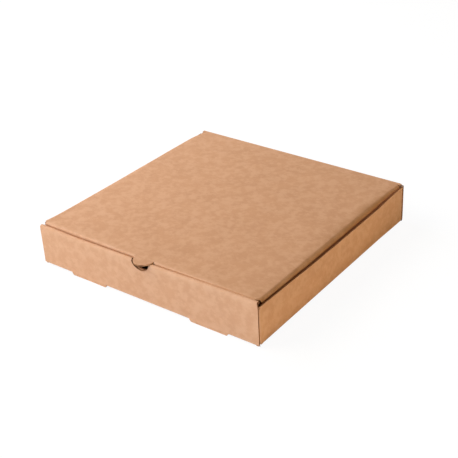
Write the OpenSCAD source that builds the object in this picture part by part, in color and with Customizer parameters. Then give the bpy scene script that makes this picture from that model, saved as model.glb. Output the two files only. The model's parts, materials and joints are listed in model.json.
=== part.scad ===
// Folding pizza box of plain corrugated board, closed.
// One die-cut blank: a tray with a rolled front wall, and a lid that turns on the top fold of the back wall.
// Millimetres, +Z up, front towards -Y. The two lips of the front wall stand on z = 0.

/* [Board] */
// Thickness of the corrugated board
board_t = 1.6; // [1.2:0.1:2.4]
// Inside radius of a pressed fold
fold_r = 0.5; // [0.3:0.1:1.2]
// Inside radius of the softer folds along the sides of the lid
soft_r = 2; // [0.6:0.1:3.4]
// Space between plies that lie against each other
ply_gap = 0.25; // [0.2:0.05:0.5]

/* [Tray] */
// Width over the side walls
box_w = 305; // [220:1:460]
// Depth over the front and back walls
box_d = 305; // [220:1:460]
// Height of the rolled front wall above the underside of the base
front_h = 51.5; // [40:0.5:80]
// How far the side walls stay below the lid, at the hinge
side_room = 1.4; // [0.6:0.1:6]
// Length of the corner flaps behind the front and back walls
corner_flap = 60; // [30:1:80]
// Slant of the ends of the corner flaps
corner_slant = 4; // [1:0.5:8]
// Room between the inner ply of the front wall and a side wall
inner_room = 0.6; // [0.4:0.1:1.5]

/* [Front lock] */
// Length of a lip along the front edge
lip_len = 51.5; // [30:0.5:60]
// Distance of a lip from the side of the box
lip_inset = 42; // [20:0.5:50]
// How far a lip reaches below the base
lip_drop = 2.4; // [1.5:0.1:5]
// Slant at each end of a lip
lip_slant = 2; // [0.5:0.1:4]
// Room around a lock tab in its slot
tab_room = 0.4; // [0.3:0.1:1]
// Room around the tongue in the thumb notch of the front wall
notch_room = 0.7; // [0.6:0.1:3]
// How far the middle of the notch lies above the wall
notch_rise = 1.4; // [0:0.1:1.6]

/* [Lid] */
// How far the lid lies lower at the back than at the front
lid_fall = 3; // [1:0.5:5]
// Room between the edge of the lid and a side wall
lid_room = 2; // [1:0.1:4]
// Room between the front fold of the lid and the rolled wall
tuck_room = 0.6; // [0.4:0.1:1.5]
// Space left under the tuck flap and the side flaps
flap_clear = 18; // [10:0.5:24]
// How far the tuck flap leans in, beyond what its swing needs
tuck_in = 0.5; // [0.2:0.1:2]
// Slant at the ends of the lid's flaps
flap_slant = 9; // [3:0.5:15]
// Rounding of the lower corners of the tuck flap
flap_round = 6; // [2:0.5:9]
// Room between the side flaps and the rear corner flaps
rear_room = 3.4; // [2:0.1:12]
// Radius of the half-moon tongue
tongue_r = 12.7; // [9:0.1:18]
// Width of the knife cut around the tongue
knife_cut = 0.3; // [0.2:0.05:0.5]
// Room between the hinge fold and the back wall under it
hinge_room = 0.15; // [0.1:0.01:0.3]

/* [Hidden] */
$fn = 64;
kraft = [0.80, 0.60, 0.43];
past = 1;
lap = 1;

fold_out = fold_r + board_t;
soft_out = soft_r + board_t;
roll_t = 3 * board_t + 2 * ply_gap;
roll_r = roll_t / 2;

lid_front = roll_t + tuck_room;
overhang = tongue_r - lid_front;
front_y = -(box_d - overhang) / 2;
back_y = front_y + box_d;
mid_y = (front_y + back_y) / 2;
half_w = box_w / 2;

base_z = lip_drop;
base_top = base_z + board_t;
front_top = base_z + front_h;
side_top = front_top - lid_fall - board_t - side_room;
fold_z = base_z + fold_out;

side_front = front_y + board_t + ply_gap + fold_out;
side_back = back_y - board_t - ply_gap - fold_out;
inner_w = box_w - 2 * (board_t + inner_room);
slot_back = front_y + roll_t + tab_room;
lip_mid = half_w - lip_inset - lip_len / 2;
lip_end = lip_mid - lip_len / 2;
notch_r = tongue_r + notch_room;

hinge_y = back_y - board_t / 2;
hinge_z = front_top - lid_fall - board_t / 2;
lid_run = hinge_y - front_y - lid_front;
lid_tilt = atan(lid_fall / lid_run);
lid_d = lid_run / cos(lid_tilt);
lid_w = box_w - 2 * (board_t + lid_room);
lid_flat = lid_w / 2 - soft_out;
hinge_w = lid_w - 2 * board_t;
hinge_clear = 3 * board_t / 2 + ply_gap + rear_room;
crease_y = -lid_d + fold_out;
crease_z = board_t / 2 - fold_out;
flap_h = front_h - lid_fall - board_t - flap_clear;
tuck_lean = asin(flap_h / (2 * lid_d) + tuck_in / flap_h);
cut_r = tongue_r + knife_cut;

// Section of a strip bent by a quarter turn, in the first quadrant.
// Either end can run a short way into the flat board that it belongs to.
module bend(inner, first = true, last = true) {
    outer = inner + board_t;
    intersection() {
        difference() {
            circle(outer);
            circle(inner);
        }
        square(outer);
    }
    if (first)
        translate([inner, -lap])
            square([board_t, lap]);
    if (last)
        translate([-lap, inner])
            square([lap, board_t]);
}

// A section in Y and Z, drawn out along X about the middle
module across(length) {
    rotate([90, 0, 90])
        linear_extrude(length, center = true)
            children();
}

// A section in X and Z, drawn out along Y from one end to the other
module along(from_y, to_y) {
    translate([0, to_y, 0])
        rotate([90, 0, 0])
            linear_extrude(to_y - from_y)
                children();
}

// The same thing on the left and on the right
module both_sides() {
    children();
    mirror([1, 0, 0])
        children();
}

// Outline of a lip below a line, also the outline of its slot in the base
module lip_outline(depth) {
    polygon([
        [lip_end, 0],
        [lip_end + lip_slant, -depth],
        [lip_end + lip_len - lip_slant, -depth],
        [lip_end + lip_len, 0]
    ]);
}

// Slots that the lips leave in the base and in the front fold
module lip_slots() {
    both_sides() {
        translate([0, front_y + board_t, base_z - past])
            linear_extrude(fold_out + 2 * past)
                mirror([0, 1])
                    lip_outline(slot_back - front_y - board_t);
        translate([lip_end, front_y - past, base_z - past])
            cube([lip_len, board_t + past, fold_out + past]);
    }
}

module base_panel() {
    translate([0, mid_y, base_z])
        linear_extrude(board_t)
            square([box_w - 2 * fold_out, box_d - 2 * fold_out], center = true);
    across(box_w)
        translate([front_y + fold_out, fold_z])
            rotate(180)
                bend(fold_r);
}

module front_outer() {
    along(front_y, front_y + board_t) {
        translate([-half_w, fold_z])
            square([box_w, front_top - roll_r - fold_z]);
        both_sides() {
            translate([lip_end, base_z])
                square([lip_len, fold_out]);
            translate([0, base_z])
                lip_outline(lip_drop);
        }
    }
}

module front_roll() {
    across(box_w)
        translate([front_y + roll_r, front_top - roll_r])
            difference() {
                union() {
                    circle(roll_r);
                    translate([-roll_r, -lap])
                        square([roll_t, lap]);
                }
                circle(roll_r - board_t);
                translate([board_t - roll_r, -roll_t])
                    square([roll_t - 2 * board_t, roll_t]);
                translate([-roll_t, -roll_t])
                    square([2 * roll_t, roll_t - lap]);
            }
}

module front_inner() {
    foot = base_top + ply_gap;
    tab_half = lip_len / 2 - lip_slant - tab_room;
    along(front_y + roll_t - board_t, front_y + roll_t) {
        translate([-inner_w / 2, foot])
            square([inner_w, front_top - roll_r - foot]);
        both_sides()
            translate([lip_mid - tab_half, base_z])
                square([2 * tab_half, foot - base_z]);
    }
}

module thumb_notch() {
    translate([0, front_y + roll_t + past, front_top + notch_rise])
        rotate([90, 0, 0])
            cylinder(r = notch_r, h = roll_t + 2 * past);
}

// Corner flap of a side wall, behind the front wall
module corner() {
    low = fold_z + ply_gap;
    reach = half_w - fold_out;
    translate([reach, side_front, low])
        linear_extrude(side_top - low)
            rotate(-90)
                bend(fold_r);
    along(side_front - fold_out, side_front - fold_out + board_t)
        polygon([
            [reach, low],
            [reach, side_top],
            [reach - corner_flap, side_top - corner_slant],
            [reach - corner_flap, low + corner_slant]
        ]);
}

module side_wall() {
    along(side_front, side_back) {
        translate([half_w - fold_out, fold_z])
            rotate(-90)
                bend(fold_r);
        translate([half_w - board_t, fold_z])
            square([board_t, side_top - fold_z]);
    }
    corner();
    translate([0, 2 * mid_y, 0])
        mirror([0, 1, 0])
            corner();
}

module back_wall() {
    across(box_w) {
        translate([back_y - fold_out, fold_z])
            rotate(-90)
                bend(fold_r);
        translate([back_y - board_t, fold_z])
            square([board_t, hinge_z - board_t / 2 - hinge_room - fold_z]);
    }
}

module tray() {
    color(kraft)
        union() {
            difference() {
                base_panel();
                lip_slots();
            }
            difference() {
                union() {
                    front_outer();
                    front_roll();
                    front_inner();
                }
                thumb_notch();
            }
            both_sides()
                side_wall();
            back_wall();
        }
}

// Lid panel with its hinge fold and the tongue, hinge line at the origin
module lid_panel() {
    translate([0, 0, -board_t / 2])
        linear_extrude(board_t) {
            translate([-lid_flat, crease_y])
                square([2 * lid_flat, -crease_y]);
            translate([-hinge_w / 2, -hinge_clear])
                square([hinge_w, hinge_clear]);
            translate([-tongue_r, -lid_d])
                square([2 * tongue_r, fold_out]);
            translate([0, -lid_d])
                circle(tongue_r);
        }
    across(hinge_w)
        circle(board_t / 2);
}

// Outline of the tuck flap with its half-moon hole, running on upwards past the fold at 0
module flap_outline() {
    low = flap_h - flap_round;
    foot = lid_flat - flap_slant;
    difference() {
        union() {
            polygon([
                [-foot, -low],
                [foot, -low],
                [lid_flat + flap_slant, low - 2 * lap],
                [-lid_flat - flap_slant, low - 2 * lap]
            ]);
            translate([flap_round - foot, -flap_h])
                square([2 * (foot - flap_round), flap_round]);
            both_sides()
                translate([foot - flap_round, -low])
                    circle(flap_round);
        }
        circle(cut_r);
        translate([-cut_r, 0])
            square([2 * cut_r, low]);
    }
}

// Tuck flap with its fold: a strip that bends down and leans in, cut to its outline
module tuck_flap() {
    intersection() {
        across(2 * lid_flat) {
            rotate(90)
                bend(fold_r, last = false);
            rotate(tuck_lean) {
                rotate(90)
                    bend(fold_r, first = false);
                translate([-fold_out, -flap_h - past])
                    square([board_t, flap_h + past]);
            }
        }
        rotate([tuck_lean, 0, 0])
            along(-fold_out - past, lap + past)
                flap_outline();
    }
}

module lid_side() {
    along(crease_y, -hinge_clear)
        translate([lid_flat, board_t / 2 - soft_out])
            bend(soft_r);
    translate([lid_w / 2 - board_t, 0, board_t / 2 - soft_out])
        rotate([90, 0, 90])
            linear_extrude(board_t)
                polygon([
                    [crease_y, 0],
                    [crease_y, -lap],
                    [crease_y + flap_slant, -flap_h],
                    [-hinge_clear - flap_slant, -flap_h],
                    [-hinge_clear, -lap],
                    [-hinge_clear, 0]
                ]);
}

module lid() {
    color(kraft)
        translate([0, hinge_y, hinge_z])
            rotate([-lid_tilt, 0, 0])
                union() {
                    lid_panel();
                    translate([0, crease_y, crease_z])
                        tuck_flap();
                    both_sides()
                        lid_side();
                }
}

tray();
lid();
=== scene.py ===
import json
import math
from types import SimpleNamespace

import bmesh
import bpy
import numpy as np
from bpy.props import FloatProperty, FloatVectorProperty, PointerProperty
from mathutils import Matrix, Vector, kdtree


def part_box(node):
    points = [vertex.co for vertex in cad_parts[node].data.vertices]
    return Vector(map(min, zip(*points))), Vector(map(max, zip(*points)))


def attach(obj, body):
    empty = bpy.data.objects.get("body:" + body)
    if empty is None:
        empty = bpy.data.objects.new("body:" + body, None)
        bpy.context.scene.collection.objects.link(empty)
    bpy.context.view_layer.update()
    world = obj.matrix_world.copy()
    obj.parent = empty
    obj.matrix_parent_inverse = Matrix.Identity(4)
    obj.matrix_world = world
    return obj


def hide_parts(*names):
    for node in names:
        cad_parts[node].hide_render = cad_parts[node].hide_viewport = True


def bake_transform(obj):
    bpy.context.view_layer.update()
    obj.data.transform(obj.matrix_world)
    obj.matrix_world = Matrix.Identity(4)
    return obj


bl_info = {
    "name": "Folding pizza box",
    "version": (1, 0, 0),
    "blender": (4, 5, 0),
    "location": "View3D > Sidebar > Pizza box",
    "description": "Folds a plain corrugated pizza box from its die-cut blank, with fluted cut edges",
    "category": "Add Mesh",
}

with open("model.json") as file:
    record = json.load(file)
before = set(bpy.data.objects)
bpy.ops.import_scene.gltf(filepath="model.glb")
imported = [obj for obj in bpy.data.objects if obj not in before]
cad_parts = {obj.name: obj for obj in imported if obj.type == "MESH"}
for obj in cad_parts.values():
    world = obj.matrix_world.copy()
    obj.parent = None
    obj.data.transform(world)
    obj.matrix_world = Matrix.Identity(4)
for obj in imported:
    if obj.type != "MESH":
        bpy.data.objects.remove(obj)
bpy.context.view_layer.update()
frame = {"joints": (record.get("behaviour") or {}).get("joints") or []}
TRAY_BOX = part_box("tray")
HINGE = frame["joints"][0]["pos_m"]

MM = 1000.0
QUARTER = math.pi / 2
FRONT_PLIES = 3
# Points closer than this, in millimetres, are the same point.
NEAR = 0.01
# Which side of a strip faces out of the box.
LEFT, RIGHT = 1, -1
# Parts of the blank: the panels from front to back, a side wall or flap, a lip or the tongue.
CHAIN, SIDE, LIP = 0, 1, 2
# Surfaces of the board, in the order of its materials.
LINER, CUT = 0, 1

# Steps of the mesh around curves.
ROLL_STEPS, NOTCH_STEPS = 12, 14
FLAP_ROUND_STEPS, HOLE_STEPS, TONGUE_STEPS = 10, 20, 24
RIM_STEPS, WAVE_STEPS = 5, 8
CREASE_STEPS, CREASE_TURN_STEPS, CREASE_INNER_STEPS = 4, 12, 5


def length(name, description, default):
    """A size in metres."""
    return FloatProperty(name=name, description=description, default=default, unit="LENGTH", precision=5)


def angle(name, description, degrees):
    """An angle, given in degrees."""
    return FloatProperty(name=name, description=description, default=math.radians(degrees), subtype="ANGLE")


def colour(name, description, default):
    """A colour in linear values."""
    return FloatVectorProperty(
        name=name, description=description, default=default, subtype="COLOR", min=0, max=1)


class PizzaBoxBoard(bpy.types.PropertyGroup):
    """The corrugated board that the whole box is folded from."""

    thickness: length("Thickness", "Thickness of the corrugated board", 0.0016)
    fold_radius: length("Fold radius", "Inside radius of a pressed fold", 0.0005)
    soft_radius: length("Soft fold radius", "Inside radius of the folds along the sides of the lid", 0.0025)
    ply_gap: length("Ply gap", "Space between plies that lie against each other", 0.00025)
    liner: length("Liner", "Thickness of the two paper faces of the board", 0.00022)
    flute_paper: length("Fluting paper", "Thickness of the waved paper between the faces", 0.00022)
    flute_pitch: length("Flute pitch", "Length of one wave of the fluting", 0.0033)
    flute_inset: length("Flute inset", "How far the waved paper lies behind a cut edge", 0.0001)
    flute_sink: length("Flute sink", "How far the waved paper runs into the floor of the groove", 0.00005)
    groove: length("Groove", "How deep the fluting shows at a cut edge", 0.0018)
    mesh_step: length("Mesh step", "Largest distance between the lines of the mesh", 0.006)


class PizzaBoxTray(bpy.types.PropertyGroup):
    """Sizes of the tray."""

    width: length("Width", "Width over the side walls", TRAY_BOX[1].x - TRAY_BOX[0].x)
    depth: length("Depth", "Depth over the front and back walls", TRAY_BOX[1].y - TRAY_BOX[0].y)
    front_height: length("Front height", "Height of the rolled front wall above the base", 0.0515)
    side_room: length("Side room", "How far the side walls stay below the lid", 0.0019)
    corner_flap: length("Corner flap", "Length of the corner flaps", 0.06)
    corner_slant: length("Corner slant", "Slant at the ends of the corner flaps", 0.004)
    corner_relief: length("Corner relief", "Distance of a corner flap's lower top from the fold", 0.002)
    inner_room: length("Inner room", "Room between the inner front ply and a side wall", 0.0006)
    lip_length: length("Lip length", "Length of a lip along the front edge", 0.0515)
    lip_inset: length("Lip inset", "Distance of a lip from the side of the box", 0.042)
    lip_drop: length("Lip drop", "How far a lip reaches below the base", 0.0024)
    lip_slant: length("Lip slant", "Slant at each end of a lip", 0.002)
    tab_room: length("Tab room", "Room around a lock tab in its slot", 0.0004)
    notch_room: length("Notch room", "Room around the tongue in the thumb notch", 0.0004)
    notch_rise: length("Notch rise", "How far the middle of the notch lies above the wall", 0.0019)


class PizzaBoxLid(bpy.types.PropertyGroup):
    """Sizes of the lid."""

    fall: length("Fall", "How far the lid lies lower at the back than at the front", 0.003)
    room: length("Room", "Room between the edge of the lid and a side wall", 0.002)
    tuck_room: length("Tuck room", "Room between the front fold and the rolled wall", 0.0006)
    flap_clear: length("Flap clearance", "Space left under the flaps", 0.018)
    tuck_in: length("Tuck in", "How far the tuck flap leans in beyond its swing", 0.0005)
    flap_start: length("Flap start", "Straight part of a flap next to its fold", 0.001)
    flap_slant: length("Flap slant", "Slant at the ends of the flaps", 0.009)
    flap_round: length("Flap rounding", "Rounding of the lower corners of the tuck flap", 0.006)
    corner_gap: length("Corner gap", "How far the side flaps stay behind the front fold", 0.005)
    corner_lead: length("Corner lead", "How far the side folds run on past the panel's front", 0.0008)
    rear_room: length("Rear room", "Room between the side flaps and the rear corner flaps", 0.0014)
    tongue_radius: length("Tongue radius", "Radius of the half-moon tongue", 0.0127)
    tongue_step: length("Tongue step", "Distance between the lines of the tongue's mesh", 0.003)
    knife_cut: length("Knife cut", "Width of the cut around the tongue", 0.0003)
    hinge_inset: length("Hinge inset", "Distance of the hinge's ends from the sides of the box", 0.003)
    hinge_end: length("Hinge end", "Length of the straight ends of the hinge", 0.0012)
    hinge_slant: length("Hinge slant", "Slant behind the ends of the hinge", 0.0004)
    hinge_room: length("Hinge room", "Room between the hinge fold and the back wall", 0.00015)
    crease_reach: length("Crease reach", "How far the hinge crease runs onto the wall and the lid", 0.003)
    crease_paper: length("Crease paper", "How far the stretched paper of the crease stands out", 0.00012)
    crease_inset: length("Crease inset", "Distance of the crease's ends from the hinge's ends", 0.0018)
    crease_round: length("Crease rounding", "Rounding of the crease on the inside", 0.0006)


class PizzaBoxForm(bpy.types.PropertyGroup):
    """How the folded board settles out of true."""

    front_slope: FloatProperty(
        name="Front slope", description="Rise of the front wall's top from left to right", default=0.0132)
    front_level: length("Front level point", "Where along the front its top has the plain height", -0.02)
    front_sag: length("Front sag", "How far the front roll sags left of the notch", 0.0017)
    lip_shift: length("Lip shift", "How far the foot of the front wall lies to the right", 0.0033)
    notch_shift: length("Notch shift", "How far the thumb notch lies to the left", 0.0012)
    notch_close: length("Notch close", "How far the notch's right edge is pressed to the tongue", 0.0007)
    pinch: length("Notch pinch", "How far the inner ply is pressed to the front one at the notch", 0.0008)
    crush: length("Corner crush", "How far the right end of the front roll is pressed in", 0.0015)
    crush_reach: length("Crush reach", "Length and height of that pressed corner", 0.006)
    wall_bow: length("Wall bow", "How far the walls bow out between their corners", 0.0006)
    front_rise: length("Front rise", "How far the right wall's top rises to the front", 0.0022)
    back_rise: length("Back rise", "How far the right wall's top rises to the back", 0.0011)
    right_dip: length("Right dip", "How far the right wall's top dips behind its middle", 0.0007)
    left_sag: length("Left sag", "How far the left wall's top lies lower", 0.0008)
    corner_press: length("Corner press", "How much sharper the front corners are folded", 0.0006)
    corner_sag: length("Corner sag", "How far the base hangs lower at its back right corner", 0.001)
    back_sag: length("Back sag", "How far the back wall's left upper corner is pressed down", 0.0035)
    lid_lift: length("Lid lift", "How far the lid stands up at its front left corner", 0.0005)
    lid_crown: length("Lid crown", "How far the middle of the lid stands up", 0.0006)
    right_lift: length("Right lift", "How far the right half of the lid's front edge stands up", 0.0012)
    right_push: length("Right push", "How far that edge is pushed to the front roll", 0.0006)
    lid_shift: length("Lid shift", "How far the lid lies off the middle, to the left", 0.0008)
    hinge_shift: length("Hinge shift", "How far the left end of the hinge lies to the right", 0.0015)
    lid_drop_right: length("Right edge drop", "How far the lid falls off towards its right side", 0.0021)
    lid_drop_left: length("Left edge drop", "How far the lid falls off towards its left side", 0.0003)
    edge_reach: length("Lid edge reach", "Width of that fall", 0.013)
    left_bulge: length("Left bulge", "How far the lid's left fold stands out over the wall", 0.0016)
    corner_bulge: length("Corner bulge", "How much further the left fold stands out at the front", 0.0026)
    right_bulge: length("Right bulge", "How far the lid's right fold stands out at the front", 0.001)
    fold_press: length("Fold press", "How much sharper the lid's side folds are at the front", 0.0006)
    flap_pull: length("Flap pull", "How far the lid's side flaps lean in at their lower edges", 0.005)
    ripple: length("Ripple", "Height of the soft waves in the panels", 0.00012)


class PizzaBoxFinish(bpy.types.PropertyGroup):
    """Colours of the brown paper."""

    kraft: colour("Kraft", "Colour of the paper faces", (0.61, 0.33, 0.175))
    pale_fibre: colour("Pale fibres", "Colour of the pale flecks in the paper", (0.70, 0.41, 0.24))
    dark_fibre: colour("Dark fibres", "Colour of the dark fibres in the paper", (0.40, 0.19, 0.09))
    # Painted shade: the tray's cut edge and fluting tones are darker than the lid's, which keep the plain
    # paper tone. The darker tones stand in for the shadow in the thumb notch and in the slot along the side
    # walls' tops.
    tray_edge: colour("Tray edge", "Colour of the paper at the tray's cut edges", (0.47, 0.23, 0.105))
    tray_fluting: colour("Tray fluting", "Colour of the tray's waved paper", (0.37, 0.17, 0.072))
    lid_edge: colour("Lid edge", "Colour of the paper at the lid's cut edges", (0.60, 0.33, 0.17))
    lid_fluting: colour("Lid fluting", "Colour of the lid's waved paper", (0.50, 0.26, 0.125))


class PizzaBoxStage(bpy.types.PropertyGroup):
    """The camera."""

    eye: FloatVectorProperty(
        name="Eye", description="Place of the camera", default=(0.63661, -0.810648, 0.62069),
        subtype="TRANSLATION", unit="LENGTH")
    azimuth: angle("Azimuth", "Turn of the camera about the box", 37.88)
    elevation: angle("Elevation", "Height of the camera above the horizon", 30.256)
    roll: angle("Roll", "Roll of the camera", -3.133)
    sensor: FloatProperty(name="Sensor", description="Width of the sensor in millimetres", default=36)
    lens: FloatProperty(name="Lens", description="Focal length in millimetres", default=79.195)


GROUPS = {
    "pizza_box_board": PizzaBoxBoard,
    "pizza_box_tray": PizzaBoxTray,
    "pizza_box_lid": PizzaBoxLid,
    "pizza_box_form": PizzaBoxForm,
    "pizza_box_finish": PizzaBoxFinish,
    "pizza_box_stage": PizzaBoxStage,
}


def millimetres(group):
    """Every size of a property group, in millimetres."""
    return SimpleNamespace(**{
        name: getattr(group, name) * MM
        for name in group.__annotations__
        if group.bl_rna.properties[name].unit == "LENGTH"
    })


def form_sizes(scene):
    """How the board settles: sizes in millimetres, and the slope of the front wall."""
    form = millimetres(scene.pizza_box_form)
    form.front_slope = scene.pizza_box_form.front_slope
    return form


def box_sizes(scene):
    """All sizes of the box in millimetres, with those that follow from them."""
    b = millimetres(scene.pizza_box_board)
    t = millimetres(scene.pizza_box_tray)
    n = millimetres(scene.pizza_box_lid)
    s = SimpleNamespace(**vars(b), **vars(t), **{"lid_" + k: v for k, v in vars(n).items()})
    s.half_t = s.thickness / 2
    s.fold_out = s.fold_radius + s.thickness
    s.fold_mid = s.fold_radius + s.half_t
    s.fold_len = QUARTER * s.fold_mid
    s.soft_out = s.soft_radius + s.thickness
    s.soft_len = QUARTER * (s.soft_radius + s.half_t)
    s.roll_t = FRONT_PLIES * s.thickness + (FRONT_PLIES - 1) * s.ply_gap
    s.roll_r = s.roll_t / 2
    lid_front = s.roll_t + s.lid_tuck_room
    s.front_y = -(s.depth - s.lid_tongue_radius + lid_front) / 2
    s.back_y = s.front_y + s.depth
    s.half_w = s.width / 2
    s.base_z = s.lip_drop
    s.front_top = s.base_z + s.front_height
    s.side_top = s.front_top - s.lid_fall - s.thickness - s.side_room
    s.fold_z = s.base_z + s.fold_out
    s.side_front = s.front_y + s.thickness + s.ply_gap + s.fold_out
    s.side_back = s.back_y - s.thickness - s.ply_gap - s.fold_out
    s.base_edge = s.half_w - s.fold_out
    s.inner_half = s.half_w - s.thickness - s.inner_room
    s.lip_mid = s.half_w - s.lip_inset - s.lip_length / 2
    s.tab_half = s.lip_length / 2 - s.lip_slant - s.tab_room
    s.notch_r = s.lid_tongue_radius + s.notch_room
    s.hinge_y, s.hinge_z = HINGE[1] * MM, HINGE[2] * MM
    s.back_top = s.hinge_z - s.half_t - s.lid_hinge_room
    run = s.hinge_y - s.front_y - lid_front
    s.tilt = math.atan(s.lid_fall / run)
    s.lid_d = run / math.cos(s.tilt)
    s.lid_half = s.half_w - s.thickness - s.lid_room
    s.lid_flat = s.lid_half - s.soft_out
    s.hinge_half = s.half_w - s.lid_hinge_inset
    s.hinge_clear = s.half_t + s.thickness + s.ply_gap + s.lid_rear_room
    s.flap_h = s.front_height - s.lid_fall - s.thickness - s.lid_flap_clear
    s.lean = math.asin(s.flap_h / (2 * s.lid_d) + s.lid_tuck_in / s.flap_h)
    s.cut_r = s.lid_tongue_radius + s.lid_knife_cut
    return s


def grid(low, high, step):
    """Even places from low to high, at most a step apart."""
    return np.linspace(low, high, max(2, math.ceil((high - low) / step) + 1))


def smooth(t):
    """0 up to 0, 1 from 1, with soft ends."""
    t = np.clip(t, 0, 1)
    return t * t * (3 - 2 * t)


def ramp(value, start, full):
    """0 up to the start, 1 from where it is full, with soft ends."""
    return smooth((value - start) / (full - start))


def diagonal(a, b):
    """1 where a surface faces midway between two directions, 0 where it faces along one."""
    return 2 * np.abs(a * b)


def stack(*columns):
    """Columns side by side, where a plain number fills a whole column."""
    count = max(len(c) for c in columns if np.ndim(c))
    return np.column_stack([c if np.ndim(c) else np.full(count, float(c)) for c in columns])


def arc_points(centre, radius, start, end, count):
    """Points of an arc on the blank."""
    turns = np.linspace(start, end, count + 1)
    return [(centre[0] + radius * math.cos(x), centre[1] + radius * math.sin(x)) for x in turns]


class Section:
    """A strip of board seen from its end: straight runs and bends, measured along its middle."""

    BEND_STEPS = 8
    CREASE_REACH = 2.2

    def __init__(self, start, heading, outer, runs):
        self.start, self.heading, self.outer, self.runs = np.array(start, float), heading, outer, runs
        self.marks = np.concatenate([[0], np.cumsum([run for run, turn in runs])])

    def at(self, s):
        """Place and outward direction at each distance along the strip."""
        s = np.asarray(s, float)
        place, out = np.zeros((len(s), 2)), np.zeros((len(s), 2))
        point, heading = self.start, self.heading
        for i, (run, turn) in enumerate(self.runs):
            low = -np.inf if i == 0 else self.marks[i]
            high = np.inf if i == len(self.runs) - 1 else self.marks[i + 1]
            here = (s >= low) & (s < high)
            d = np.append(s[here] - self.marks[i], run)
            if turn:
                radius = run / turn
                facing = heading + d / radius
                swing = np.stack([np.sin(facing), -np.cos(facing)], 1)
                where = point + radius * (swing - [math.sin(heading), -math.cos(heading)])
            else:
                facing = np.full(len(d), heading)
                where = point + d[:, None] * [math.cos(heading), math.sin(heading)]
            place[here] = where[:-1]
            out[here] = self.outer * np.stack([-np.sin(facing), np.cos(facing)], 1)[:-1]
            point, heading = where[-1], facing[-1]
        return place, out

    def crease(self, s):
        """1 on a bend, falling to 0 a little way beside it."""
        near = np.zeros(len(s))
        for i, (run, turn) in enumerate(self.runs):
            if turn:
                beside = np.maximum(np.maximum(self.marks[i] - s, s - self.marks[i + 1]), 0)
                near = np.maximum(near, smooth(1 - beside / self.CREASE_REACH))
        return near

    def lines(self, step):
        """Where the mesh is cut across the strip."""
        cuts = [self.marks]
        for i, (run, turn) in enumerate(self.runs):
            if turn:
                count = max(2, round(self.BEND_STEPS * abs(turn) / QUARTER))
                cuts.append(np.linspace(self.marks[i], self.marks[i + 1], count + 1))
            else:
                cuts.append(grid(self.marks[i], self.marks[i + 1], step))
        return np.unique(np.round(np.concatenate(cuts), 6))

    def fold(self, u, v):
        """Folds a part of the blank over a strip that runs from the front of the box to its back."""
        place, out = self.at(v)
        return stack(u, place), stack(0, out), stack(u, v, self.crease(v))


class Board:
    """The middle of a folded sheet: its points, outward directions, places on the blank and cells."""

    CUT_CLOSE = 1e-4

    def __init__(self):
        self.place, self.out, self.blank, self.part = [], [], [], []
        self.cells, self.count = [], 0

    def add(self, outline, cuts_a, cuts_b, fold, part):
        """Cuts an outline on the blank into cells and folds them."""
        bm = bmesh.new()
        bm.faces.new([bm.verts.new((a, b, 0)) for a, b in outline])
        for axis, cuts in enumerate((cuts_a, cuts_b)):
            across = [float(axis == k) for k in range(3)]
            for cut in cuts:
                everything = bm.verts[:] + bm.edges[:] + bm.faces[:]
                at = [cut * k for k in across]
                bmesh.ops.bisect_plane(
                    bm, geom=everything, dist=self.CUT_CLOSE, plane_co=at, plane_no=across)
        bm.verts.index_update()
        flat = np.array([v.co[:2] for v in bm.verts], float)
        cells = [[v.index + self.count for v in f.verts] for f in bm.faces]
        bm.free()
        place, out, blank = fold(flat[:, 0], flat[:, 1])
        self.place.append(place)
        self.out.append(out)
        self.blank.append(blank)
        self.part.append(np.full(len(place), part))
        self.cells += cells
        self.count += len(place)

    def whole(self):
        """The sheet with its mirrored half, joined where it meets."""
        place, out, blank = (np.concatenate(x) for x in (self.place, self.out, self.blank))
        part = np.concatenate(self.part)
        swap = np.array([-1, 1, 1.0])
        n = len(place)
        place, out, blank = (np.concatenate([x, x * swap]) for x in (place, out, blank))
        part = np.concatenate([part, part])
        cells = self.cells + [[i + n for i in reversed(c)] for c in self.cells]
        tree = kdtree.KDTree(len(place))
        for i, p in enumerate(place):
            tree.insert(p, i)
        tree.balance()
        first = np.array([min(i for co, i, d in tree.find_range(p, NEAR)) for p in place])
        kept, index = np.unique(first, return_inverse=True)
        place, out, blank, part = place[kept], out[kept], blank[kept], part[kept]
        joined = []
        for cell in cells:
            ring = [index[i] for i in cell]
            ring = [a for a, b in zip(ring, ring[1:] + ring[:1]) if a != b]
            if len(ring) < 3:
                continue
            p = place[ring]
            facing = np.cross(p, np.roll(p, -1, 0)).sum(0) @ out[ring].sum(0)
            joined.append(ring if facing > 0 else ring[::-1])
        return SimpleNamespace(place=place, out=out, blank=blank, part=part, cells=joined)


# Below this, two edges turn so sharply that their corner has no middle direction.
SHARP_TURN = 0.35


def find_rim(sheet, closing):
    """Finds the sheet's open edges, the kind of each, and the way into the board from their points."""
    place, out = sheet.place, sheet.out
    directed = {(a, b) for c in sheet.cells for a, b in zip(c, c[1:] + c[:1])}
    sheet.after = {a: b for a, b in directed if (b, a) not in directed}
    sheet.before = {b: a for a, b in sheet.after.items()}
    sheet.rim = sorted(set(sheet.after) & set(sheet.before))
    sheet.row = {v: i for i, v in enumerate(sheet.rim)}
    sheet.kind = {a: closing(sheet.blank[a], sheet.blank[b]) for a, b in sheet.after.items()}
    sheet.inward = np.zeros((len(sheet.rim), 3))
    for i, v in enumerate(sheet.rim):
        turn = []
        for a, b in ((sheet.before[v], v), (v, sheet.after[v])):
            along = place[b] - place[a]
            along = along / np.linalg.norm(along)
            turn.append((along, np.cross(out[v], along)))
        (d1, n1), (d2, n2) = turn
        facing, back = 1 + n1 @ n2, d1 - d2
        sheet.inward[i] = (n1 + n2) / facing if facing > SHARP_TURN else back / np.linalg.norm(back)


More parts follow.
